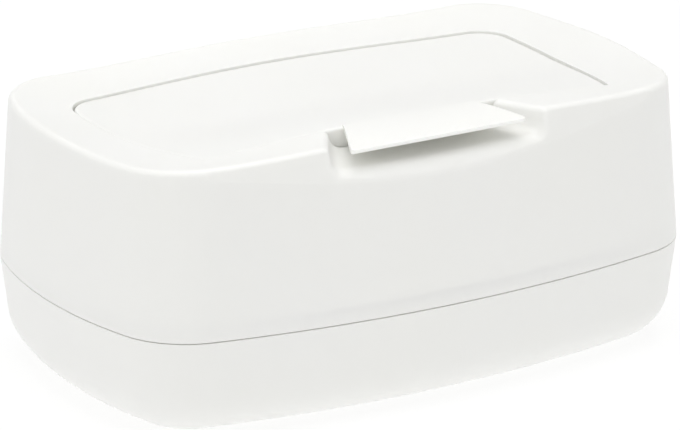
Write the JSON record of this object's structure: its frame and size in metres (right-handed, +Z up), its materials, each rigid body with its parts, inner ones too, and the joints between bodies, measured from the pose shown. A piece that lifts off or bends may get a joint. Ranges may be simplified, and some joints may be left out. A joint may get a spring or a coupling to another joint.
{
  "type": "countertop wipes dispenser",
  "caption": "Oblong countertop wipes dispenser with a lift-off cover, a hinged lid with a finger tab over a scoop, a soft dispensing aperture and a loose weighted plate.",
  "frame": {"origin": "middle of the outline on the table plane, level with the undersides of the foot pads", "axes": "+X along the length to the right as seen from the front, +Y to the back, +Z up; the finger scoop faces -Y"},
  "size_m": [0.22, 0.1416, 0.0929],
  "materials": {
    "white_shell": "satin moulded polypropylene",
    "white_lid": "satin moulded polypropylene",
    "aperture_plastic": "satin",
    "plate_plastic": "matt",
    "soft_seal": "translucent grey silicone",
    "foot_rubber": "matt grey soft rubber",
    "hinge_steel": "drawn stainless wire",
    "ballast_steel": "mill finish steel bar"
  },
  "bodies": {
    "base": {"base_tub": "white_shell", "base_seal": "soft_seal", "foot_pad_front_left": "foot_rubber", "foot_pad_front_right": "foot_rubber", "foot_pad_back_left": "foot_rubber", "foot_pad_back_right": "foot_rubber"},
    "cover": {"cover_shell": "white_shell", "hinge_pin_left": "hinge_steel", "hinge_pin_right": "hinge_steel", "aperture_frame": "aperture_plastic", "aperture_membrane": "soft_seal"},
    "lid": {"lid_panel": "white_lid", "lid_liner": "white_lid", "lid_seal": "soft_seal"},
    "plate": {"weight_plate_lower": "plate_plastic", "weight_plate_upper": "plate_plastic", "weight_bar_front": "ballast_steel", "weight_bar_back": "ballast_steel"}
  },
  "joints": [
    {"name": "cover_lift", "type": "slide", "parent": "base", "child": "cover", "axis": [0, 0, 1], "range_m": [0, 0.11]},
    {"name": "lid_hinge", "type": "hinge", "parent": "cover", "child": "lid", "pos_m": [0, 0.028, 0.0834], "axis": [-1, 0, 0], "range_deg": [0, 90]},
    {"name": "plate_lift", "type": "slide", "parent": "base", "child": "plate", "axis": [0, 0, 1], "range_m": [0, 0.04]}
  ]
}
